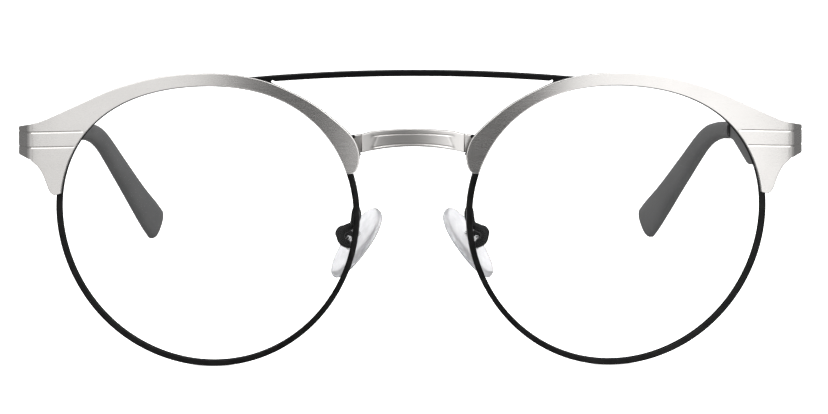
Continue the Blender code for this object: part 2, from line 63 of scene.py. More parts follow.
MM = 0.001
SIDES = {"right": -1.0, "left": 1.0}

# ---- dimensions shared with the CAD part ----
ORIGIN_Y = 71.76             # from the foremost point of the plates back to the origin
LENS_X = 35.95               # lens centre, from the middle of the frame
LENS_Z = 25.97               # lens centre above the table
LENS_R = 25.11               # mean radius of the rim's opening
# waves around the opening, each with the cosine and sine amounts that it adds to the radius
LENS_SHAPE = {2: (0.566, -0.160), 3: (-0.094, 0.544), 4: (-0.153, -0.052), 5: (0.040, -0.018)}
WRAP = math.radians(4.5)     # each lens faces outwards by this angle
BASE_R = 130.0               # radius of the sphere that the front is bent to
GAP = 0.3                    # clearance between pieces that are soldered or rest on each other
RIM_FACE = 1.01              # rim seen from the front
RIM_DEPTH = 1.7              # rim from front to back
RIM_BACK = 1.1               # rim's front face lies this far behind the brow plate's
GROOVE = 0.35                # depth of the groove that holds the lens
LENS_THICK = 1.4
LOCK_ANGLE = math.radians(180.0 - 29.0)   # where the rim is split for its closing blocks
LOCK_SPLIT = 0.12            # width of that split
PLATE_THICK = 0.8
PLATE_INSET = 0.21           # how far the rim shows inside the plate's lower edge
TAB_X = 66.4                 # where the brow plate starts to bend back
TAB_BEND_R = 2.0             # radius of that bend
TAB_ANGLE = math.radians(66.0)   # direction of the tab's end, from straight across
TAB_END = 72.5               # end of the tab, measured along the plate
GROOVE_FALL = 0.057          # the engraved lines fall by this much for each unit outwards
GROOVE_HALF = 0.2            # half width of an engraved line
GROOVE_DEEP = 0.14
BAR_END = 30.2               # top bar, half length
BAR_TOP = 52.5               # top edge at the centre line
BAR_ARCH = 0.0015            # the top edge falls by this times x squared
BAR_FACE = 0.96              # bar seen from the front
BAR_DEPTH = 1.6              # bar from front to back
WEB_X = 24.25                # middle of the notch between the bar and its web
WEB_Z = 50.54
WEB_R = 0.36
BRIDGE_THICK = 0.9
BRIDGE_Y = 1.15              # foremost point of the lower bridge
BRIDGE_STEP_X = 8.85         # where the lower bridge steps back behind each plate
BRIDGE_STEP_RUN = 0.2        # how far across that step reaches
BRIDGE_TOP = 42.49           # edges of the lower bridge at the centre line
BRIDGE_LOW = 39.42
HINGE_X = 66.0               # hinge pin
HINGE_Y = 12.6
HINGE_LOW = 36.9
HINGE_HIGH = 41.0
PIN_R = 0.45
ARM_SPREAD = 0.075           # the temple comes inwards this much for each unit back
ARM_THICK = 1.0
ARM_OUTER_X = 69.35          # outer face of the temple at its front end
ARM_Y = 12.8
TIP_Y = 82.0                 # front end of the plastic tip
PAD_CENTRE = Vector((9.9, 8.0, 21.25))
PAD_SLOPE = math.radians(55.6)   # the pad's length falls outwards at this angle
PAD_TURN = math.radians(28.5)    # its rear edge is turned away from the nose
PAD_LENGTH = 14.4
PAD_WIDTH = 7.6
PAD_THICK = 1.9
PAD_LONG = Vector((math.cos(PAD_SLOPE), 0.0, -math.sin(PAD_SLOPE)))
PAD_WIDE = Vector((math.sin(PAD_SLOPE) * math.sin(PAD_TURN), math.cos(PAD_TURN),
                   math.cos(PAD_SLOPE) * math.sin(PAD_TURN)))
PAD_OUT = PAD_LONG.cross(PAD_WIDE)    # from the pad away from the nose
PIVOT_ALONG = -0.3           # pad screw, along the pad from its middle
PIVOT_OUT = 3.0              # pad screw, outwards from the pad's middle plane
BOX_HALF = 1.3               # half the length of the pad box, along its screw

# ---- dimensions that follow the photo more closely than the CAD ----
TAB_GROOVES = ((57.2, 41.77), (58.8, 39.05))    # where each engraved line starts
BRIDGE_STEP = 0.45           # depth of the step at each end of the lower bridge
BRIDGE_BOW = 0.011           # it bows back by this times x squared, as far as the step
TIP_END = (51.12, 140.93, 2.35)
TIP_CORNER = 2.9             # radius of the tip's rounded end
TIP_LEAN = 0.25              # towards its end, the tip's top lies further on than its bottom
BOX_R = 1.35                 # pad box, round about its screw
# near SKEW_X the front sits SKEW further to the wearer's left than an even one would
SKEW = 0.25
SKEW_X = 10.0
SKEW_REACH = 27.0            # the shift fades out over this distance

# ---- dimensions of the fine detail ----
SHARP = math.radians(30.0)   # edges steeper than this stay crisp
PLATE_EDGE_R = 0.13          # rounding of the edges cut from sheet
BAR_EDGE_R = 0.12
ARM_EDGE_R = 0.2
GROOVE_RUN = 0.5             # an engraved line deepens over this length
WEB_FADE = 0.7               # the webs take up the front's curve over this height
RELIEF_TOP = 0.8             # bridge's upper engraved line, below its top edge
RELIEF_LOW = 0.5             # its lower line, above the bottom edge
RELIEF_END = 7.35            # half length of the panel between the lines
RELIEF_HALF = 0.19           # half width of each line
RELIEF_DEEP = 0.13
CORE_TALL = 2.1              # arm's core inside the tip
PAD_BACK = 0.85              # the pad's back rises this much for each unit of its front
LOOP_CENTRE = (11.17, 23.15)    # curl of the nose-pad arm, seen from the front
LOOP_R = 1.45
LOOP_WIRE = 0.74             # radius of that wire
SOLDER_R = 0.36
CAD_BEVEL = 0.08             # softened edges of the pieces that keep their CAD shape

# ---- camera and studio ----
CAMERA_DISTANCE = 0.700
CAMERA_RISE = math.radians(9.0)      # how far the camera looks down
CAMERA_TURN = math.radians(0.95)     # how far it stands to the wearer's right
VIEW_WIDTH = 0.14465                 # width of the view at the front of the glasses
TARGET = Vector((0.000353, -ORIGIN_Y * MM, 0.02894))

PANEL_AHEAD = 0.15           # the front panels stand this far before the glasses
PANEL_TALL = 0.7
PANEL_Z = 0.05               # middle of their height
PANEL_INNER = {"right": 0.0525, "left": 0.035}    # their inner edges, from the middle
PANEL_OUTER = 0.215          # and their outer edges
PANEL_RADIANCE = {"right": 0.98, "left": 1.40}
CARD_RADIANCE = 0.10         # of the card between them
SIDE_X = 0.45                # dimmer panels stand this far out on both sides
SIDE_Z = 0.1
SIDE_TALL = 1.0
SIDE_PANELS = ((-0.35, -0.02, 0.6), (-0.02, 0.25, 0.22))    # their span in y and radiance
TOP_X = 0.45                 # two panels overhead, to the sides and ahead
TOP_Z = 0.62
TOP_AHEAD = 0.18
TOP_SIZE = (0.6, 0.5)
TOP_SHARE = 1.8              # their radiance, as a share of the front panel's on that side
MIDDLE_BACK = 0.12           # one more overhead, in the middle and behind the front
MIDDLE_SIZE = (0.5, 0.4)
MIDDLE_RADIANCE = 3.2
ROOM_RADIANCE = 0.22         # from everywhere else


# ---- the front's surface ----
def front_y(x, z):
    """Depth of the front face of the brow plates and lenses at (x, z)."""
    across = abs(x) - LENS_X
    up = z - LENS_Z
    return across * math.tan(WRAP) + (across * across + up * up) / (2 * BASE_R)


def behind(x, z, depth):
    """Point a given depth behind the front's surface, measured square to the lens."""
    return Vector((x - depth * math.tan(WRAP), front_y(x, z) + depth, z))


def opening_radius(angle):
    """Radius of the rim's opening; the angle starts at the nose and rises over the brow."""
    radius = LENS_R
    for waves, (cosine, sine) in LENS_SHAPE.items():
        radius += cosine * math.cos(waves * angle) + sine * math.sin(waves * angle)
    return radius


def opening_point(angle, outwards):
    """Point (x, z) beside the rim's opening, moved outwards along the outline's normal."""
    def edge(a):
        r = opening_radius(a)
        return Vector((LENS_X - r * math.cos(a), LENS_Z + r * math.sin(a)))
    step = 0.001
    along = (edge(angle + step) - edge(angle - step)).normalized()
    normal = Vector((-along.y, along.x))
    return edge(angle) + normal * outwards


# ---- mesh helpers ----
def share(value):
    """Value held between 0 and 1."""
    return min(max(value, 0.0), 1.0)


def rounder(value, power):
    """Sine or cosine raised to a power with its sign kept; below 1 it fills a ring's corners."""
    return math.copysign(abs(value) ** power, value)


def mirrored(vector, side):
    """Vector of the left half, carried to either side."""
    return Vector((side * vector.x, vector.y, vector.z))


def steps(start, stop, count):
    """Evenly spaced values, both ends included."""
    return [start + (stop - start) * i / (count - 1) for i in range(count)]


def spline(points, per_span):
    """Smooth curve through given points."""
    padded = [2 * points[0] - points[1], *points, 2 * points[-1] - points[-2]]
    curve = []
    for a, b, c, d in zip(padded, padded[1:], padded[2:], padded[3:]):
        for i in range(per_span):
            t = i / per_span
            curve.append(0.5 * (2 * b + (c - a) * t + (2 * a - 5 * b + 4 * c - d) * t ** 2
                                + (3 * b - a - 3 * c + d) * t ** 3))
    return curve + [points[-1]]


def skew(x):
    """How far a point of the front sits off the even shape, sideways."""
    return SKEW * math.exp(-((x - SKEW_X) / SKEW_REACH) ** 2)


def to_object(bm, name):
    """Object made from a millimetre bmesh, in metres from the frame's origin."""
    for vert in bm.verts:
        vert.co.y -= ORIGIN_Y
        vert.co *= MM
    bmesh.ops.recalc_face_normals(bm, faces=bm.faces)
    if bm.calc_volume(signed=True) < 0:
        bmesh.ops.reverse_faces(bm, faces=bm.faces)
    mesh = bpy.data.meshes.new(name)
    bm.to_mesh(mesh)
    bm.free()
    made = bpy.data.objects.new(name, mesh)
    bpy.context.scene.collection.objects.link(made)
    return made


def finish_piece(bm, name, material, body, nodes, side=1.0, skewed=True, smooth=True):
    """Turn a millimetre bmesh of the left half into a piece that stands for CAD nodes."""
    for vert in bm.verts:
        vert.co.x *= side
        if skewed:
            vert.co.x += skew(vert.co.x)
    piece = to_object(bm, name)
    piece.data.materials.append(LOOKS[material])
    if smooth:
        piece.data.shade_smooth()
        piece.data.set_sharp_from_angle(angle=SHARP)
    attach(piece, body)
    if nodes:
        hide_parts(*nodes)
    return piece


def bridge(bm, ring_a, ring_b):
    """Join two rings of vertices with quads."""
    count = len(ring_a)
    for i in range(count):
        j = (i + 1) % count
        bm.faces.new((ring_a[i], ring_a[j], ring_b[j], ring_b[i]))


def loft(rings, wear=None):
    """Closed solid through rings of points; wear says how exposed each point of a ring is."""
    bm = bmesh.new()
    edge = bm.verts.layers.float.new("edge")
    made = []
    for ring in rings:
        verts = [bm.verts.new(p) for p in ring]
        for i, vert in enumerate(verts):
            vert[edge] = wear[i] if wear else 0.0
        made.append(verts)
    for a, b in zip(made, made[1:]):
        bridge(bm, a, b)
    bm.faces.new(made[0])
    bm.faces.new(reversed(made[-1]))
    return bm


def tube(path, radii):
    """Round wire along a path, its cross-section carried along without twist."""
    segments = 20
    turns = [2 * math.pi * k / segments for k in range(segments)]
    rings = []
    sideways = Vector((0, 0, 1)).cross(path[1] - path[0]).normalized()
    for i, point in enumerate(path):
        along = (path[min(i + 1, len(path) - 1)] - path[max(i - 1, 0)]).normalized()
        sideways = (sideways - along * sideways.dot(along)).normalized()
        upwards = along.cross(sideways)
        rings.append([point + radii[i] * (sideways * math.cos(a) + upwards * math.sin(a))
                      for a in turns])
    return loft(rings)


def turned(profile, origin, axis, segments=40):
    """Solid of revolution; the profile is a list of (radius, distance along the axis)."""
    turn = Vector(axis).to_track_quat("Z", "Y").to_matrix()
    angles = [2 * math.pi * i / segments for i in range(segments)]
    rings = []
    for radius, along in profile:
        rings.append([Vector(origin) + turn @ Vector((radius * math.cos(a), radius * math.sin(a), along))
                      for a in angles])
    return loft(rings)


def inset_outline(points, inset):
    """Closed outline (x, z) moved inwards along the mitre of each corner."""
    area = sum(a.x * b.y - b.x * a.y for a, b in zip(points, points[1:] + points[:1]))
    turn = 1.0 if area > 0 else -1.0
    moved = []
    for i, point in enumerate(points):
        before = (point - points[i - 1]).normalized()
        after = (points[(i + 1) % len(points)] - point).normalized()
        normals = [Vector((-d.y, d.x)) * turn for d in (before, after)]
        mitre = normals[0] + normals[1]
        moved.append(point + mitre * inset / max(1.0 + normals[0].dot(normals[1]), 0.5))
    return moved


def edge_rings(thickness, radius):
    """Rings of (inset, depth) that round both edges of a sheet, each after one flat support ring."""
    support = radius * 1.8
    front = [(support, 0.0)]
    for a in steps(math.radians(90), 0.0, 5):
        front.append((radius * (1 - math.cos(a)), radius * (1 - math.sin(a))))
    return front + [(inset, thickness - depth) for inset, depth in reversed(front)]


def cut_lines(xs, zs=()):
    """Upright and level lines for sheet() to cut along."""
    return [((x, 0.0), (1.0, 0.0)) for x in xs] + [((0.0, z), (0.0, 1.0)) for z in zs]


def sheet(outline, thickness, radius, cuts, form):
    """Flat outline with rounded edges, cut along lines and bent by form(x, z, depth)."""
    bm = bmesh.new()
    edge = bm.verts.layers.float.new("edge")
    rings = []
    for inset, depth in edge_rings(thickness, radius):
        exposed = 1.0 if radius * 0.1 < inset < radius * 0.9 else 0.0
        ring = [bm.verts.new((p.x, depth, p.y)) for p in inset_outline(outline, inset)]
        for vert in ring:
            vert[edge] = exposed
        rings.append(ring)
    for a, b in zip(rings, rings[1:]):
        bridge(bm, a, b)
    bm.faces.new(rings[0])
    bm.faces.new(reversed(rings[-1]))
    for point, normal in cuts:
        everything = bm.verts[:] + bm.edges[:] + bm.faces[:]
        bmesh.ops.bisect_plane(bm, geom=everything, dist=1e-5, plane_co=(point[0], 0.0, point[1]),
                               plane_no=(normal[0], 0.0, normal[1]))
    for vert in bm.verts:
        vert.co = form(*vert.co.xzy)
    return bm


def cut_slot(piece, centre, axis, along, width, depth, length):
    """Screwdriver slot across a screw's head, cut by a hidden block."""
    axis = Vector(axis).normalized()
    along = (Vector(along) - axis * Vector(along).dot(axis)).normalized()
    across = axis.cross(along)
    rings = []
    for out in (-depth, depth * 2):
        corners = ((-1, -1), (1, -1), (1, 1), (-1, 1))
        rings.append([Vector(centre) + axis * out + along * a * length / 2 + across * b * width / 2
                      for a, b in corners])
    bm = loft(rings)
    for vert in bm.verts:
        vert.co.x += skew(centre[0])
    cutter = to_object(bm, piece.name + "_slot")
    cutter.hide_render = True
    cutter.hide_viewport = True
    cutter.parent = piece.parent
    modifier = piece.modifiers.new("slot", "BOOLEAN")
    modifier.operation = "DIFFERENCE"
    modifier.object = cutter
    modifier.solver = "EXACT"


# ---- materials ----
class Look:
    """A node material with short helpers for its textures."""

    def __init__(self, name, colour, roughness, metallic=0.0, **sockets):
        self.material = bpy.data.materials.new(name)
        self.material.use_nodes = True
        self.tree = self.material.node_tree
        self.shader = self.tree.nodes["Principled BSDF"]
        self.set(self.shader, "Base Color", (*colour, 1.0))
        self.set(self.shader, "Roughness", roughness)
        self.set(self.shader, "Metallic", metallic)
        for socket, value in sockets.items():
            self.set(self.shader, socket.replace("_", " "), value)

    def glow(self, radiance):
        """Give off an even white light of its own."""
        self.set(self.shader, "Emission Color", (1.0, 1.0, 1.0, 1.0))
        self.set(self.shader, "Emission Strength", radiance)

    @staticmethod
    def set(node, socket, value):
        node.inputs[socket].default_value = value

    def add(self, kind, **sockets):
        node = self.tree.nodes.new(kind)
        for socket, value in sockets.items():
            self.set(node, socket, value)
        return node

    def link(self, output, node, socket):
        self.tree.links.new(output, node.inputs[socket])

    def noise(self, per_mm, stretch=(1.0, 1.0, 1.0), detail=3.0):
        """Noise with a number of cells per millimetre, stretched along one axis or another."""
        where = self.add("ShaderNodeTexCoord")
        sized = self.add("ShaderNodeMapping")
        self.set(sized, "Scale", [per_mm / MM / s for s in stretch])
        self.link(where.outputs["Object"], sized, "Vector")
        noise = self.add("ShaderNodeTexNoise", Scale=1.0, Detail=detail, Roughness=0.55)
        self.link(sized.outputs["Vector"], noise, "Vector")
        return noise.outputs["Fac"]

    def spread(self, value, low, high):
        """Noise, which lies mostly between 0.3 and 0.7, drawn out to the range low to high."""
        noise_low, noise_high = 0.3, 0.7
        node = self.tree.nodes.new("ShaderNodeMapRange")
        self.link(value, node, 0)
        for socket, number in enumerate((noise_low, noise_high, low, high), start=1):
            node.inputs[socket].default_value = number
        return node.outputs[0]

    def mix(self, share, colour_a, colour_b):
        """Colour between two, by a share that may vary over the surface."""
        node = self.tree.nodes.new("ShaderNodeMix")
        node.data_type = "RGBA"
        self.link(share, node, 0)
        for socket, colour in ((6, colour_a), (7, colour_b)):
            if isinstance(colour, tuple):
                node.inputs[socket].default_value = (*colour, 1.0)
            else:
                self.tree.links.new(colour, node.inputs[socket])
        return node.outputs[2]

    def times(self, a, b):
        node = self.tree.nodes.new("ShaderNodeMath")
        node.operation = "MULTIPLY"
        node.use_clamp = True
        self.link(a, node, 0)
        self.link(b, node, 1)
        return node.outputs[0]

    def bump(self, height, millimetres):
        node = self.add("ShaderNodeBump", Strength=1.0, Distance=millimetres * MM)
        self.link(height, node, "Height")
        return node

    def surface(self, colour, roughness, bump):
        """Join the textures to the shader; a colour of None leaves the plain one."""
        if colour is not None:
            self.link(colour, self.shader, "Base Color")
        self.link(roughness, self.shader, "Roughness")
        self.link(bump.outputs["Normal"], self.shader, "Normal")
        return self.material


def edge_wear(look):
    """Patchy wear along exposed edges, from the mesh's own edge values."""
    exposed = look.add("ShaderNodeAttribute")
    exposed.attribute_name = "edge"
    patches = look.spread(look.noise(0.6), 0.0, 1.0)
    return look.times(exposed.outputs["Fac"], patches)


def brushed_silver(name, smoothest, roughest):
    look = Look(name, (0.62, 0.605, 0.59), 0.33, 1.0)
    streaks = look.noise(4.0, (14.0, 14.0, 1.0), 4.0)
    cloud = look.noise(0.12)
    colour = look.mix(look.spread(cloud, 0.0, 1.0), (0.60, 0.585, 0.57), (0.64, 0.625, 0.61))
    colour = look.mix(edge_wear(look), colour, (0.74, 0.73, 0.715))
    return look.surface(colour, look.spread(streaks, smoothest, roughest), look.bump(streaks, 0.0009))


def satin_black():
    look = Look("satin_black", (0.003, 0.003, 0.0032), 0.4, 0.0, Specular_IOR_Level=0.1)
    grain = look.noise(9.0)
    cloud = look.noise(0.25)
    colour = look.mix(look.spread(cloud, 0.0, 1.0), (0.0025, 0.0025, 0.0027), (0.004, 0.004, 0.0043))
    colour = look.mix(edge_wear(look), colour, (0.012, 0.0118, 0.0115))
    return look.surface(colour, look.spread(cloud, 0.36, 0.46), look.bump(grain, 0.002))


def satin_graphite():
    look = Look("satin_graphite", (0.10, 0.10, 0.102), 0.42, 0.3)
    grain = look.noise(9.0)
    cloud = look.noise(0.15)
    colour = look.mix(look.spread(cloud, 0.0, 1.0), (0.15, 0.15, 0.152), (0.175, 0.175, 0.177))
    colour = look.mix(edge_wear(look), colour, (0.24, 0.24, 0.24))
    return look.surface(colour, look.spread(cloud, 0.38, 0.48), look.bump(grain, 0.002))


def bright_steel():
    look = Look("bright_steel", (0.62, 0.62, 0.625), 0.24, 1.0)
    turning = look.noise(3.0, (1.0, 1.0, 0.25), 4.0)
    colour = look.mix(look.spread(turning, 0.0, 1.0), (0.58, 0.58, 0.585), (0.66, 0.66, 0.665))
    return look.surface(colour, look.spread(turning, 0.18, 0.32), look.bump(turning, 0.003))


def dark_plastic():
    look = Look("dark_plastic", (0.10, 0.10, 0.102), 0.42)
    grain = look.noise(6.0)
    cloud = look.noise(0.08)
    colour = look.mix(look.spread(cloud, 0.0, 1.0), (0.105, 0.105, 0.107), (0.135, 0.135, 0.137))
    return look.surface(colour, look.spread(cloud, 0.36, 0.46), look.bump(grain, 0.003))


def clear_silicone():
    look = Look("clear_silicone", (0.89, 0.885, 0.90), 0.12, Transmission_Weight=0.6, IOR=1.3)
    cloud = look.noise(0.9, (1.0, 1.0, 2.5))
    colour = look.mix(look.spread(cloud, 0.0, 1.0), (0.68, 0.68, 0.695), (0.82, 0.82, 0.835))
    return look.surface(colour, look.spread(cloud, 0.06, 0.16), look.bump(cloud, 0.01))


def clear_lens():
    look = Look("clear_lens", (0.95, 0.97, 0.96), 0.03, Alpha=0.012)
    cloud = look.noise(0.05)
    return look.surface(None, look.spread(cloud, 0.02, 0.05), look.bump(cloud, 0.002))


LOOKS = {
    "brushed_silver": brushed_silver("brushed_silver", 0.25, 0.28),
    "black_metal": satin_black(),
    "graphite_metal": satin_graphite(),
    "bright_steel": bright_steel(),
    "dark_plastic": dark_plastic(),
    "clear_silicone": clear_silicone(),
    "clear_lens": clear_lens(),
}


# ---- rims and lenses ----
def rim_section():
    """Cross-section (outwards, depth) of the rim with its exposed corners marked."""
    radius = 0.12
    section = []
    corners = ((radius, radius, 180), (RIM_FACE - radius, radius, 270),
               (RIM_FACE - radius, RIM_DEPTH - radius, 0), (radius, RIM_DEPTH - radius, 90))
    for out, depth, start in corners:
        for a in steps(math.radians(start), math.radians(start + 90), 4):
            section.append((out + radius * math.cos(a), depth + radius * math.sin(a), 1.0))
    middle = RIM_DEPTH / 2
    half_groove = 0.4
    section += [(0.0, middle + half_groove, 0.0), (GROOVE, middle, 0.0), (0.0, middle - half_groove, 0.0)]
    return section


def add_rim(side_name, side):
    """Eyewire with rounded corners, a lens groove and a split behind the brow plate's lobe."""
    section = rim_section()
    half_split = LOCK_SPLIT / 2 / LENS_R
    rings = []
    for angle in steps(LOCK_ANGLE + half_split, LOCK_ANGLE + 2 * math.pi - half_split, 260):
        rings.append([behind(*opening_point(angle, out), RIM_BACK + depth) for out, depth, _ in section])
    bm = loft(rings, [worn for _, _, worn in section])
    finish_piece(bm, f"{side_name}_eyewire", "black_metal", "front", [f"{side_name}_rim"], side)


def add_lens(side_name, side):
    """Curved lens with a bevelled edge in the rim's groove."""
    segments = 144
    bevel_out = 0.03             # the bevel's ridge lies this far outside the rim's opening
    middle = RIM_BACK + RIM_DEPTH / 2
    half = LENS_THICK / 2
    front = [(-inwards, -half) for inwards in (20.0, 15.0, 10.0, 5.0, 1.0, 0.5)]
    layers = front + [(bevel_out, 0.0)] + [(out, -depth) for out, depth in reversed(front)]
    turns = [2 * math.pi * i / segments for i in range(segments)]
    rings = [[behind(*opening_point(a, out), middle + depth) for a in turns] for out, depth in layers]
    bm = loft(rings)
    for cap in [f for f in bm.faces if len(f.verts) == segments]:
        hub = bmesh.ops.poke(bm, faces=[cap])["verts"][0]
        hub.co = behind(LENS_X, LENS_Z, middle + math.copysign(half, hub.co.y - middle))
    finish_piece(bm, f"{side_name}_lens_clear", "clear_lens", "front", [f"{side_name}_lens"], side)


# ---- brow plates ----
def plate_form(x, z, depth):
    """Point of the flat plate, engraved and bent to the front's curve and around the tab."""
    if depth < PLATE_THICK / 2:
        for start_x, start_z in TAB_GROOVES:
            off_line = abs(z - start_z + GROOVE_FALL * (x - start_x))
            reached = share((x - start_x) / GROOVE_RUN)
            depth = max(depth, reached * GROOVE_DEEP * (1 - off_line / GROOVE_HALF))
    if x <= TAB_X:
        heading = max(WRAP, math.atan(math.tan(WRAP) + (x - LENS_X) / BASE_R))
        return Vector((x - depth * math.sin(heading), front_y(x, z) + depth * math.cos(heading), z))
    start = math.atan(math.tan(WRAP) + (TAB_X - LENS_X) / BASE_R)
    turn = min((x - TAB_X) / TAB_BEND_R, TAB_ANGLE - start)
    heading = start + turn
    straight = (x - TAB_X) - turn * TAB_BEND_R
    here = Vector((TAB_X, front_y(TAB_X, z)))
    here += TAB_BEND_R * Vector((math.sin(heading) - math.sin(start), math.cos(start) - math.cos(heading)))
    here += straight * Vector((math.cos(heading), math.sin(heading)))
    here += depth * Vector((-math.sin(heading), math.cos(heading)))
    return Vector((here.x, here.y, z))


def plate_outline():
    """Flat pattern of the brow plate: inner edge along the rim, then lobe, tab and brow."""
    nose = math.radians(19.5)               # ends of the inner edge, as angles around the lens
    lobe = math.radians(180.0 - 10.5)
    tab_low = 37.0
    tab_high = 41.5
    chamfer = 0.25
    inner = [opening_point(a, PLATE_INSET) for a in steps(nose, lobe, 120)]
    lobe_edge = spline([Vector(p) for p in ((62.3, 30.5), (62.95, 30.42), (63.75, 31.2), (64.6, 33.4),
                                            (65.6, 35.15), (67.2, 36.5))], 6)
    tab = [Vector((TAB_END - chamfer, tab_low - chamfer)), Vector((TAB_END, tab_low)),
           Vector((TAB_END, tab_high)), Vector((TAB_END - chamfer, tab_high + chamfer))]
    brow = spline([Vector(p) for p in ((67.0, 42.65), (64.4, 43.53), (58.3, 46.4), (52.1, 49.2),
                                       (43.8, 51.48), (35.3, 52.15), (29.0, 51.6), (24.35, 50.42),
                                       (18.92, 47.87), (14.95, 45.2), (10.75, 41.38), (9.4, 38.6),
                                       (9.35, 36.8), (9.8, 35.3), (10.4, 34.7))], 8)
    return inner + lobe_edge + tab + brow


def add_brow_plate(side_name, side):
    """Brushed plate over the upper half of the rim, with two engraved lines across its tab."""
    aside = 0.03                 # keeps the upright cuts off whole numbers
    bend_length = 1.75           # reaches just past the end of the bend
    grid = cut_lines([x + aside for x in range(10, 66)], steps(30.6, 51.6, 15))
    bend = cut_lines(steps(TAB_X, TAB_X + bend_length, 12))
    engraved = []
    for start_x, start_z in TAB_GROOVES:
        engraved += cut_lines([start_x, start_x + GROOVE_RUN])
        engraved += [((start_x, start_z + across), (GROOVE_FALL, 1.0))
                     for across in (-GROOVE_HALF, 0.0, GROOVE_HALF)]
    bm = sheet(plate_outline(), PLATE_THICK, PLATE_EDGE_R, grid + bend + engraved, plate_form)
    finish_piece(bm, f"{side_name}_brow_sheet", "brushed_silver", "front", [f"{side_name}_brow_plate"], side)


# ---- top bar and lower bridge ----
def bar_form(x, z, depth):
    """The bar runs straight across behind the plates; its webs follow the front's curve."""
    lean_run = 2.0               # the bar takes up the plates' lean over this length
    beside = share((z - WEB_Z + WEB_FADE) / WEB_FADE)
    bar_y = front_y(max(abs(x), WEB_X), z)
    y = beside * bar_y + (1 - beside) * front_y(x, z) + RIM_BACK + depth
    lean = min(max(1 - beside, (abs(x) - WEB_X) / lean_run), 1.0) * (RIM_BACK + depth) * math.tan(WRAP)
    return Vector((x - math.copysign(lean, x), y, z))


def bar_outline():
    """Arched bar whose ends widen, past a round notch, into webs that run down beside the rims."""
    def top_edge(x):
        return BAR_TOP - BAR_ARCH * x * x
    clear = 0.4                  # from the notch's middle to the end of the lower edge
    top = [Vector((x, top_edge(x))) for x in steps(-BAR_END, BAR_END, 81)]
    bottom = [Vector((x, top_edge(x) - BAR_FACE)) for x in steps(WEB_X - clear, clear - WEB_X, 61)]
    inner = [opening_point(math.radians(a), RIM_FACE + GAP) for a in steps(78.0, 43.0, 36)]
    outer = spline([Vector(p) for p in ((16.0, 45.3), (19.0, 47.5), (21.9, 49.05))], 6)
    notch = [Vector((WEB_X + WEB_R * math.cos(a), WEB_Z + WEB_R * math.sin(a)))
             for a in steps(math.radians(-70), math.radians(80), 12)]
    web = inner + outer + notch
    return top + web + bottom + [Vector((-p.x, p.y)) for p in reversed(web)]


def add_top_bar():
    """Thin arched bar that joins the tops of the rims, behind the plates."""
    cuts = cut_lines([side * x for side in (-1, 1) for x in steps(15.0, 29.7, 18)],
                     (47.0, 48.4, WEB_Z - WEB_FADE, WEB_Z - WEB_FADE / 2, WEB_Z))
    bm = sheet(bar_outline(), BAR_DEPTH, BAR_EDGE_R, cuts, bar_form)
    finish_piece(bm, "arched_top_bar", "black_metal", "front", ["top_bar"])


def bridge_relief(x, below_top, above_low):
    """Depth of the two engraved lines and of the short slanting marks at the panel's ends."""
    run_out = 0.8                # the lines fade out over this length
    mark_gap = 0.35              # from a line's end to the foot of a mark
    mark_slant = 0.45            # the mark moves inwards by this for each unit upwards
    mark_share = 0.25            # its depth, as a share of the lines'
    before_end = RELIEF_END - abs(x)
    lines = 1 - min(abs(below_top - RELIEF_TOP), abs(above_low - RELIEF_LOW)) / RELIEF_HALF
    depth = lines * share(before_end / run_out)
    if below_top > RELIEF_TOP and above_low > RELIEF_LOW:
        slant = before_end - mark_gap - mark_slant * (above_low - RELIEF_LOW)
        depth = max(depth, mark_share * (1 - abs(slant) / RELIEF_HALF))
    return RELIEF_DEEP * max(depth, 0.0)


def bridge_ring(x):
    """Upright section of the lower bridge at x, engraved on its front."""
    top_arch = 0.0095            # the edges fall by these times x squared
    low_arch = 0.0148
    neck = 0.25                  # further fall of the top edge, between neck_x and the run's end
    neck_x = 7.2
    neck_run = 1.6
    end_slope = 0.08             # past the step it runs back by this for each unit outwards
    radius = 0.2                 # rounding of the front's edges
    bevel = 0.1                  # and of the back's
    clear = 0.2                  # from an engraved line to the rows between the two
    stepped = share((abs(x) - BRIDGE_STEP_X) / BRIDGE_STEP_RUN)
    top = BRIDGE_TOP - top_arch * x * x - neck * share((abs(x) - neck_x) / neck_run)
    low = BRIDGE_LOW - low_arch * x * x
    y = BRIDGE_Y + BRIDGE_BOW * min(abs(x), BRIDGE_STEP_X) ** 2 + stepped * BRIDGE_STEP
    y += end_slope * max(abs(x) - BRIDGE_STEP_X, 0.0)
    ring = []
    for a in steps(0.0, math.radians(90), 5):
        ring.append(Vector((x, y + radius * (1 - math.sin(a)), top - radius * (1 - math.cos(a)))))
    lines = [z for line in (top - RELIEF_TOP, low + RELIEF_LOW)
             for z in (line + RELIEF_HALF, line, line - RELIEF_HALF)]
    between = steps(lines[2] - clear, lines[3] + clear, 5)
    heights = sorted(lines + between + [top - radius * 2], reverse=True)
    for z in heights:
        ring.append(Vector((x, y + bridge_relief(x, top - z, z - low), z)))
    for a in steps(math.radians(90), 0.0, 5):
        ring.append(Vector((x, y + radius * (1 - math.sin(a)), low + radius * (1 - math.cos(a)))))
    back = y + BRIDGE_THICK
    ring += [Vector((x, back - bevel, low)), Vector((x, back, low + bevel)),
             Vector((x, back, top - bevel)), Vector((x, back - bevel, top))]
    return ring


def add_lower_bridge():
    """Arched bridge with an engraved panel, let into the plates at stepped ends."""
    bridge_end = 11.9
    half = steps(0.0, bridge_end, 80) + [BRIDGE_STEP_X, BRIDGE_STEP_X + BRIDGE_STEP_RUN]
    xs = sorted({x * side for x in half for side in (-1, 1)})
    bm = loft([bridge_ring(x) for x in xs])
    piece = finish_piece(bm, "engraved_lower_bridge", "brushed_silver", "front", ["lower_bridge"])
    piece.data.materials[0] = brushed_silver("satin_silver", 0.31, 0.35)


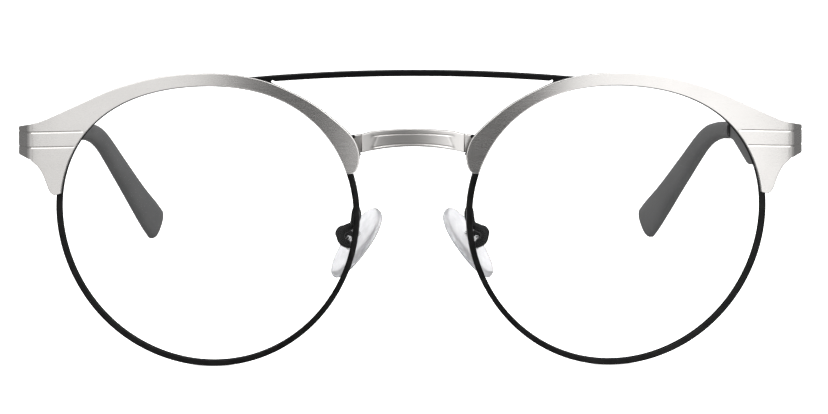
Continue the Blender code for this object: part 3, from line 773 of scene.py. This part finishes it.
def add_solder(side_name, side):
    """Black-painted solder beads where the bridge meets the back of the plate."""
    axis = (0.3, -0.2, 1.0)
    turns = steps(math.radians(-85), math.radians(85), 11)
    bead = [(SOLDER_R * math.cos(a), SOLDER_R * math.sin(a)) for a in turns]
    for place, centre in (("upper", (10.4, 2.3, 41.05)), ("lower", (9.4, 2.3, 37.95))):
        bm = turned(bead, centre, axis, 20)
        finish_piece(bm, f"{side_name}_{place}_solder", "black_metal", "front", [], side)


# ---- temples ----
def arm_point(y, z, inwards):
    """Point on the flat temple arm; inwards is measured from its outer face."""
    x = ARM_OUTER_X - ARM_SPREAD * (y - ARM_Y) - inwards * math.hypot(1.0, ARM_SPREAD)
    return Vector((x, y, z))


def add_arm(side_name, side):
    """Flat metal arm with softened edges; it thins to the core inside the plastic tip."""
    top = [(ARM_Y, 41.15), (30.0, 39.1), (50.0, 36.65), (70.0, 34.0), (81.7, 32.2), (81.71, 31.9),
           (98.0, 29.6)]
    core = [(99.5, 28.9), (98.6, 27.75)]
    below = spline([Vector(p) for p in ((77.5, 29.6), (70.0, 28.55), (64.5, 27.75), (61.5, 27.45),
                                        (58.5, 27.65), (50.0, 29.0), (40.0, 30.8), (30.0, 32.8),
                                        (20.0, 35.0), (ARM_Y, 36.65))], 4)
    outline = [Vector(p) for p in top + core + [(81.7, 29.8), (81.69, 29.5)]] + below
    cuts = cut_lines(steps(20.0, 92.0, 10))
    bm = sheet(outline, ARM_THICK, ARM_EDGE_R, cuts, arm_point)
    finish_piece(bm, f"{side_name}_arm_blade", "graphite_metal", f"{side_name}_temple",
                 [f"{side_name}_temple_arm"], side, skewed=False)


def tip_ring(point, along, thick, tall, lean=0.0, power=0.8):
    """Rounded cross-section across the tip's path; it can lean so that its top is further on."""
    segments = 28
    sideways = Vector((0, 0, 1)).cross(along).normalized()
    upwards = along.cross(sideways)
    ring = []
    for i in range(segments):
        a = 2 * math.pi * (i + 0.5) / segments
        c = rounder(math.cos(a), power)
        s = rounder(math.sin(a), power)
        ring.append(point + sideways * (thick / 2 * c) + (upwards + along * lean) * (tall / 2 * s))
    return ring


def tip_path():
    """Middle of the tip from its front end to its last point, and the heading at each point."""
    knots = [arm_point(TIP_Y, 30.95, ARM_THICK / 2), arm_point(97.0, 28.75, ARM_THICK / 2)]
    knots += [Vector(p) for p in ((60.65, 106.2, 25.7), (57.55, 118.6, 17.75),
                                  (54.45, 130.5, 9.75), TIP_END)]
    path = spline(knots, 14)
    last = len(path) - 1
    headings = [(path[min(i + 1, last)] - path[max(i - 1, 0)]).normalized() for i in range(last + 1)]
    return path, headings


def tip_size(t):
    """Thickness and height of the tip, at a share t of its length."""
    neck_thick = 2.3             # both sizes at the front end
    neck_tall = 3.25
    flare_start = 0.12           # share of the length where the flare sets in
    thicker = 0.45 * min(t / 0.6, 1.0)
    swell = 0.35 * min(t / 0.3, 1.0)
    flare = 4.6 * max((t - flare_start) / (1 - flare_start), 0.0) ** 1.8
    return neck_thick + thicker, neck_tall + swell + flare


def tip_skin(path, headings):
    """Rings of the tip's outside: a rounded front edge, the long flare and the rounded end."""
    last = len(path) - 1
    thick, tall = tip_size(0.0)
    rings = [tip_ring(path[0] + headings[0] * onwards, headings[0], thick - less, tall - less)
             for onwards, less in ((0.0, 0.3), (0.05, 0.1), (0.18, 0.0))]
    for i in range(1, last - 5):
        t = i / last
        rings.append(tip_ring(path[i], headings[i], *tip_size(t), TIP_LEAN * max(4 * t - 3, 0.0)))
    thick, tall = tip_size((last - 2) / last)
    for a in steps(math.radians(20), math.radians(90), 9):
        inset = TIP_CORNER * (1 - math.cos(a))
        onwards = headings[last] * TIP_CORNER * (math.sin(a) - 1)
        rings.append(tip_ring(path[last] + onwards, headings[last], thick - 0.9 * inset,
                              tall - 2 * inset, TIP_LEAN))
    return rings


def add_tip(side_name, side):
    """Moulded plastic tip, rounded at its end, with a socket for the arm's core."""
    path, headings = tip_path()
    socket_rings = 28
    socket = [tip_ring(path[i], headings[i], ARM_THICK + 2 * GAP, CORE_TALL + 2 * GAP, power=0.5)
              for i in range(socket_rings)]
    bm = bmesh.new()
    skin = [[bm.verts.new(p) for p in ring] for ring in tip_skin(path, headings)]
    bore = [[bm.verts.new(p) for p in ring] for ring in socket]
    for rings in (skin, bore):
        for a, b in zip(rings, rings[1:]):
            bridge(bm, a, b)
        bm.faces.new(rings[-1])
    bridge(bm, skin[0], bore[0])
    finish_piece(bm, f"{side_name}_tip_moulded", "dark_plastic", f"{side_name}_temple",
                 [f"{side_name}_temple_tip"], side, skewed=False)


def add_tip_shadow_band(side_name, side):
    """Black band around the arm, just in front of the tip: painted shadow for the dark gap where the arm
    goes into the tip's mouth.
    """
    path, headings = tip_path()
    # how far along, then the width and height there
    shadow_sizes = [(-1.5, 1.5, 2.5), (-1.4, 1.8, 2.8), (-0.1, 1.9, 2.9), (0.0, 1.6, 2.6)]
    rings = [tip_ring(path[0] + headings[0] * on, headings[0], wide, tall) for on, wide, tall in shadow_sizes]
    # black metal ring in the tip's mouth; it is painted shadow, not a part of the glasses
    finish_piece(loft(rings), f"{side_name}_tip_shadow_band", "black_metal", f"{side_name}_temple", [], side,
                 skewed=False)


# ---- nose pads ----
def pad_point(along, across, out):
    """Point in the left pad's own directions."""
    return PAD_CENTRE + PAD_LONG * along + PAD_WIDE * across + PAD_OUT * out


def add_nose_pad(side_name, side):
    """Soft clear pad: a domed teardrop with a flatter back."""
    segments = 56
    fullness = 0.85              # power of the outline; an ellipse has 1
    taper = 0.1                  # how much narrower the pad is at its lower end
    rings = []
    for a in steps(math.radians(-82), math.radians(78), 15):
        scale = math.cos(a) ** 0.75
        out = math.sin(a) * (1.0 if a < 0 else PAD_BACK)
        ring = []
        for i in range(segments):
            turn = 2 * math.pi * i / segments
            along = rounder(math.cos(turn), fullness)
            across = rounder(math.sin(turn), fullness) * (1.0 - taper * along)
            ring.append(pad_point(scale * PAD_LENGTH / 2 * along, scale * PAD_WIDTH / 2 * across,
                                  out * PAD_THICK / 2))
        rings.append(ring)
    finish_piece(loft(rings), f"{side_name}_pad_clear", "clear_silicone", f"{side_name}_pad",
                 [f"{side_name}_nose_pad"], side)


def add_pad_arm(side_name, side):
    """Wire with a flattened foot behind the rim that curls round in front of the pad box."""
    centre_x, centre_z = LOOP_CENTRE
    loop_y = 4.15
    knots = [(9.95, 3.95, 28.8, 0.45), (9.85, 4.2, 27.4, 0.85), (10.0, 4.25, 26.2, 0.85),
             (10.5, 4.2, 25.15, 0.66)]
    for degrees in (78, 40, 0, -40, -80, -105):
        a = math.radians(degrees)
        knots.append((centre_x + LOOP_R * math.cos(a), loop_y,
                      centre_z + LOOP_R * math.sin(a), LOOP_WIRE))
    path = spline([Vector(k) for k in knots], 8)
    widths = [p.w for p in path]
    for i, a in enumerate(steps(math.radians(15), math.radians(80), 5)):
        widths[i] *= math.sin(a)
        widths[-1 - i] *= math.sin(a)
    finish_piece(tube([p.xyz for p in path], widths), f"{side_name}_pad_wire", "black_metal", "front",
                 [f"{side_name}_pad_arm"], side)


def pad_block(levels):
    """Stepped block in the pad's own directions; each level is (half length, half width, out)."""
    corners = ((-1, -1), (1, -1), (1, 1), (-1, 1))
    return loft([[pad_point(PIVOT_ALONG + a * along, b * across, out) for a, b in corners]
                 for along, across, out in levels])


def soften(piece, width):
    """Small bevel along the sharp edges of a piece."""
    bevel = piece.modifiers.new("softened edges", "BEVEL")
    bevel.width = width * MM
    bevel.segments = 2
    bevel.limit_method = "ANGLE"
    bevel.angle_limit = SHARP


def add_pad_hardware(side_name, side):
    """Steel insert on the pad, and the round box that straddles its tongue."""
    base = (1.9, 1.3)            # half length and half width
    tongue = (0.8, 0.4)
    base_thick = 0.45
    past_pivot = 0.7
    skin = PAD_THICK / 2 * PAD_BACK + GAP
    bm = pad_block([(*base, skin), (*base, skin + base_thick), (*tongue, skin + base_thick),
                    (*tongue, PIVOT_OUT + past_pivot)])
    insert = finish_piece(bm, f"{side_name}_pad_insert_steel", "bright_steel", f"{side_name}_pad",
                          [f"{side_name}_pad_insert"], side, smooth=False)
    soften(insert, 0.1)
    pivot = pad_point(PIVOT_ALONG, 0, PIVOT_OUT)
    edge = 0.18
    profile = [(BOX_R - edge, -BOX_HALF), (BOX_R, -BOX_HALF + edge), (BOX_R, BOX_HALF - edge),
               (BOX_R - edge, BOX_HALF)]
    box = finish_piece(turned(profile, pivot, PAD_WIDE, 32), f"{side_name}_pad_box_round",
                       "black_metal", "front", [f"{side_name}_pad_box"], side)
    out = mirrored(PAD_OUT, side)
    centre = mirrored(pivot, side) - out * BOX_R
    cut_slot(box, centre, -out, mirrored(PAD_WIDE, side).cross(out), width=1.5,
             depth=BOX_R + 0.95, length=4.0)


# ---- small hardware ----
def dome(radius, height, start):
    """Profile of a slightly domed head that starts at a distance along the axis."""
    return [(radius * math.cos(a), start + height * math.sin(a)) for a in steps(0.0, math.radians(84), 7)]


def add_hinge_screw(side_name, side):
    """Slotted screw that the hinge turns on, with its head on top of the upper knuckle."""
    head = HINGE_HIGH + GAP
    head_r = 1.0
    profile = [(PIN_R, HINGE_LOW - 0.2), (PIN_R, head), (head_r - 0.05, head), (head_r, head + 0.05),
               (head_r, head + 0.3)] + dome(head_r, 0.3, head + 0.35)
    bm = turned(profile, (HINGE_X, HINGE_Y, 0), (0, 0, 1))
    screw = finish_piece(bm, f"{side_name}_hinge_screw_slotted", "bright_steel", "front",
                         [f"{side_name}_hinge_screw"], side, skewed=False)
    cut_slot(screw, (side * HINGE_X, HINGE_Y, head + 0.66), (0, 0, 1), (1, 0.6, 0), width=0.28,
             depth=0.25, length=3.0)


def add_pad_screw(side_name, side):
    """Slotted screw through the pad box, with its head at the front."""
    shank_r = 0.27
    head_r = 0.6
    pivot = pad_point(PIVOT_ALONG, 0, PIVOT_OUT)
    profile = [(shank_r, 1.5), (shank_r, -BOX_HALF - GAP), (head_r, -BOX_HALF - GAP)]
    profile += [(radius, -along) for radius, along in dome(head_r, 0.22, 1.85)]
    bm = turned(profile, pivot, PAD_WIDE)
    screw = finish_piece(bm, f"{side_name}_pad_screw_slotted", "bright_steel", "front",
                         [f"{side_name}_pad_screw"], side)
    axis = -mirrored(PAD_WIDE, side)
    centre = mirrored(pivot, side) + axis * 2.07
    cut_slot(screw, centre, axis, (1, 0, 0.8), width=0.16, depth=0.14, length=2.0)


def dress_cad_nodes():
    """CAD pieces whose shape is kept get the finished materials and softened edges."""
    for part in frame["record"]["subparts"]:
        node = frame["nodes"][part["node"]]
        if node.hide_render:
            continue
        node.data.materials.clear()
        node.data.materials.append(LOOKS[part["material_slot"]])
        soften(node, CAD_BEVEL)


# ---- studio ----
def add_camera():
    look = Vector((math.sin(CAMERA_TURN) * math.cos(CAMERA_RISE),
                   math.cos(CAMERA_TURN) * math.cos(CAMERA_RISE), -math.sin(CAMERA_RISE)))
    data = bpy.data.cameras.new("camera")
    data.sensor_width = 36.0
    data.lens = data.sensor_width * CAMERA_DISTANCE / VIEW_WIDTH
    data.clip_start = 0.01
    camera = bpy.data.objects.new("camera", data)
    camera.location = TARGET - look * CAMERA_DISTANCE
    camera.rotation_euler = look.to_track_quat("-Z", "Y").to_euler()
    bpy.context.scene.collection.objects.link(camera)
    bpy.context.scene.camera = camera


def add_panel(name, place, aim, size, radiance):
    """Evenly bright rectangle of light; radiance is its brightness as the camera would see it."""
    data = bpy.data.lights.new(name, "AREA")
    data.shape = "RECTANGLE"
    data.size, data.size_y = size
    data.energy = radiance * math.pi * size[0] * size[1]
    light = bpy.data.objects.new(name, data)
    light.location = place
    light.rotation_euler = (Vector(aim) - Vector(place)).to_track_quat("-Z", "Y").to_euler()
    light.visible_camera = False
    bpy.context.scene.collection.objects.link(light)


def add_flat(name, corners):
    """Four-cornered face in the scene, without thickness."""
    mesh = bpy.data.meshes.new(name)
    mesh.from_pydata(corners, [], [(0, 1, 2, 3)])
    flat = bpy.data.objects.new(name, mesh)
    bpy.context.scene.collection.objects.link(flat)
    return flat


def add_room():
    """Even dim light from every side."""
    world = bpy.data.worlds.new("studio")
    world.use_nodes = True
    background = world.node_tree.nodes["Background"]
    background.inputs["Color"].default_value = (1.0, 1.0, 1.0, 1.0)
    background.inputs["Strength"].default_value = ROOM_RADIANCE
    bpy.context.scene.world = world


def add_panels(front):
    """Soft panels: two tall ones in front, dimmer ones at both sides and three overhead."""
    for name, side in SIDES.items():
        inner = PANEL_INNER[name]
        radiance = PANEL_RADIANCE[name]
        place = (side * (inner + PANEL_OUTER) / 2, front - PANEL_AHEAD, PANEL_Z)
        size = (PANEL_OUTER - inner, PANEL_TALL)
        add_panel("panel_" + name, place, (place[0], front, place[2]), size, radiance)
        for number, (start, stop, dim) in enumerate(SIDE_PANELS):
            place = (side * SIDE_X, front + (start + stop) / 2, SIDE_Z)
            aim = (0.0, place[1], place[2])
            add_panel(f"side_{name}_{number}", place, aim, (stop - start, SIDE_TALL), dim)
        above = (side * TOP_X, front - TOP_AHEAD, TOP_Z)
        add_panel("top_" + name, above, (above[0] * 0.2, front, 0.05), TOP_SIZE, radiance * TOP_SHARE)
    above = (0.0, front + MIDDLE_BACK, TOP_Z)
    add_panel("top", above, (0.0, front + 0.1, 0.0), MIDDLE_SIZE, MIDDLE_RADIANCE)


def add_gap_card(front):
    """Dim card that only reflections see, between the two front panels."""
    y = front - PANEL_AHEAD
    low = PANEL_Z - PANEL_TALL / 2
    high = PANEL_Z + PANEL_TALL / 2
    left, right = PANEL_INNER["left"], -PANEL_INNER["right"]
    card = add_flat("gap_card", [(right, y, low), (left, y, low), (left, y, high), (right, y, high)])
    card.visible_camera = False
    card.visible_diffuse = False
    card.visible_transmission = False
    card.visible_shadow = False
    card_look = Look("card_black", (0.02, 0.02, 0.02), 0.9)
    card_look.glow(CARD_RADIANCE)
    card.data.materials.append(card_look.material)


def add_floor():
    """White paper just below the glasses, bright enough to stay white in the picture."""
    half = 3.0
    floor = add_flat("floor", [(-half, -half, 0), (half, -half, 0), (half, half, 0), (-half, half, 0)])
    floor.location.z = -0.0001
    floor.visible_glossy = False
    floor.visible_diffuse = False
    paper = Look("white_paper", (0.93, 0.93, 0.93), 0.9)
    paper.glow(1.0)
    floor.data.materials.append(paper.material)


def add_studio():
    """Light, the card that darkens the gap between the front panels, and the floor."""
    front = -ORIGIN_Y * MM
    add_room()
    add_panels(front)
    add_gap_card(front)
    add_floor()
    bpy.context.scene.view_settings.view_transform = "Standard"


# ---- assembly ----
add_top_bar()
add_lower_bridge()
for side_name, side in SIDES.items():
    add_solder(side_name, side)
    add_rim(side_name, side)
    add_lens(side_name, side)
    add_brow_plate(side_name, side)
    add_arm(side_name, side)
    add_tip(side_name, side)
    add_tip_shadow_band(side_name, side)
    add_nose_pad(side_name, side)
    add_pad_arm(side_name, side)
    add_pad_hardware(side_name, side)
    add_hinge_screw(side_name, side)
    add_pad_screw(side_name, side)
dress_cad_nodes()
add_camera()
add_studio()
